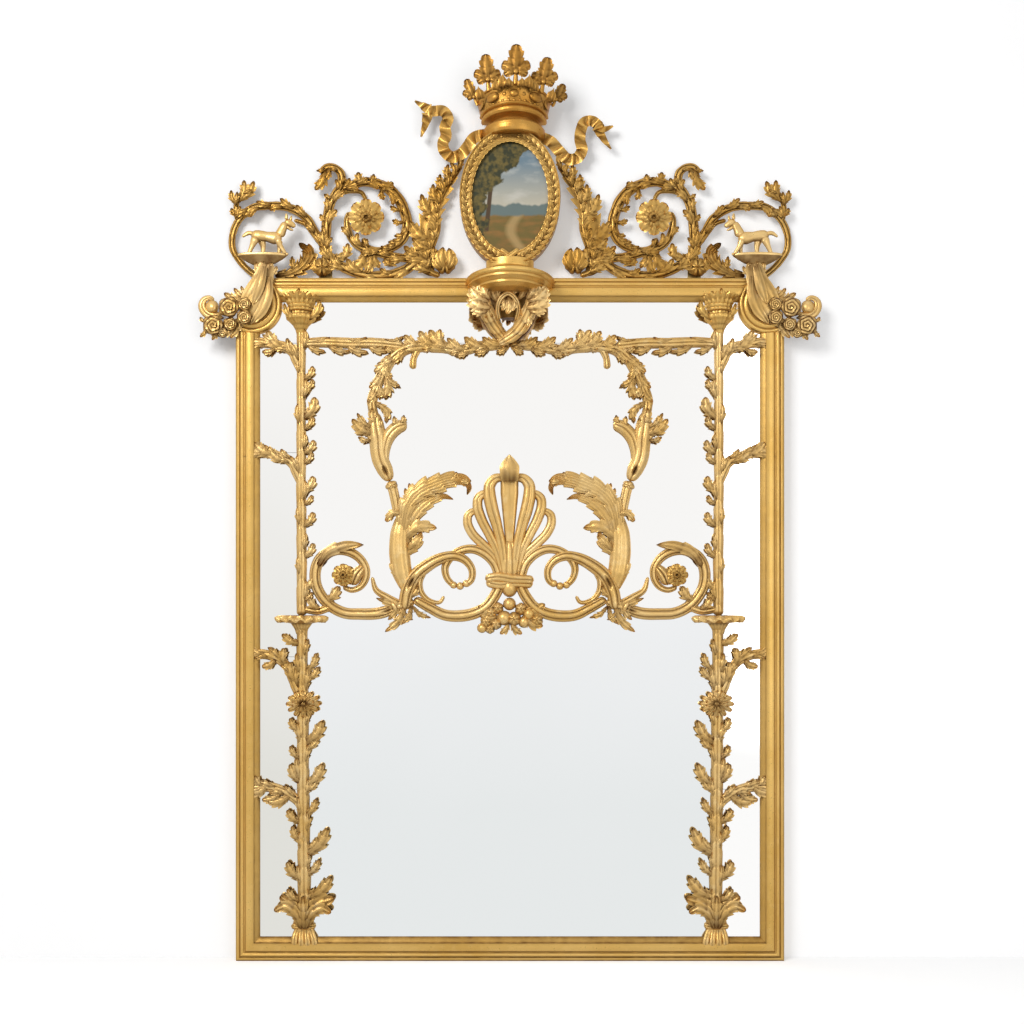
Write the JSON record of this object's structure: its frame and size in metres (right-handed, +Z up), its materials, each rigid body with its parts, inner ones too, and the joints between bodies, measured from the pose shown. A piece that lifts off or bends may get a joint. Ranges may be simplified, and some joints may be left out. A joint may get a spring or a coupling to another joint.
{
  "type": "overmantel mirror",
  "caption": "Tall giltwood overmantel mirror with divided plates, carved vines and scrolls, and a pierced cresting with an oval picture and a crown.",
  "frame": {"origin": "middle of the bottom rail's lower back edge, where the wall meets the chimneypiece shelf", "axes": "+Z up, -Y out of the wall towards the room, +X to the viewer's right"},
  "size_m": [1.869, 0.215, 2.7077],
  "materials": {
    "gilt_frame": "old gilding",
    "gilt_carving": "burnished gilding",
    "mirror_glass": "silvered glass",
    "back_wood": "raw pine",
    "painted_panel": "painted and varnished",
    "brass": "dull brass",
    "steel": "plain steel"
  },
  "bodies": {
    "root": {"acanthus_left": "gilt_carving", "acanthus_right": "gilt_carving", "backboards": "back_wood", "bracket_branches": "gilt_carving", "column_capital_left": "gilt_carving", "column_capital_right": "gilt_carving", "column_lower_left": "gilt_carving", "column_lower_right": "gilt_carving", "column_pan_left": "gilt_carving", "column_pan_right": "gilt_carving", "column_upper_left": "gilt_carving", "column_upper_right": "gilt_carving", "corner_console_left": "gilt_carving", "corner_console_right": "gilt_carving", "corner_moulding_left": "gilt_frame", "corner_moulding_right": "gilt_frame", "cornucopia_left": "gilt_carving", "cornucopia_right": "gilt_carving", "crest_acanthus_left": "gilt_carving", "crest_acanthus_right": "gilt_carving", "crest_batten": "back_wood", "crest_scroll_left": "gilt_carving", "crest_scroll_right": "gilt_carving", "crown_circlet": "gilt_carving", "crown_leaves": "gilt_carving", "dog_left": "gilt_carving", "dog_right": "gilt_carving", "frame_screws": "steel", "fruit_swag": "gilt_carving", "glazing_bar_left": "back_wood", "glazing_bar_middle": "back_wood", "glazing_bar_right": "back_wood", "glazing_bar_top": "back_wood", "glazing_blocks": "back_wood", "margin_arms_left": "gilt_carving", "margin_arms_right": "gilt_carving", "margin_plates_left": "mirror_glass", "margin_plates_right": "mirror_glass", "medallion_frame": "gilt_carving", "medallion_panel": "painted_panel", "palmette": "gilt_carving", "plate_centre_lower": "mirror_glass", "plate_centre_upper": "mirror_glass", "plate_top": "mirror_glass", "rail_bottom": "gilt_frame", "rail_top": "gilt_frame", "ribbon_left": "gilt_carving", "ribbon_right": "gilt_carving", "rosettes": "gilt_carving", "scroll_left": "gilt_carving", "scroll_right": "gilt_carving", "shelf_bracket": "gilt_carving", "stile_left": "gilt_frame", "stile_right": "gilt_frame", "vine_arch_left": "gilt_carving", "vine_arch_right": "gilt_carving", "vine_rod_left": "gilt_carving", "vine_rod_right": "gilt_carving", "wall_plates": "brass"}
  },
  "joints": []
}
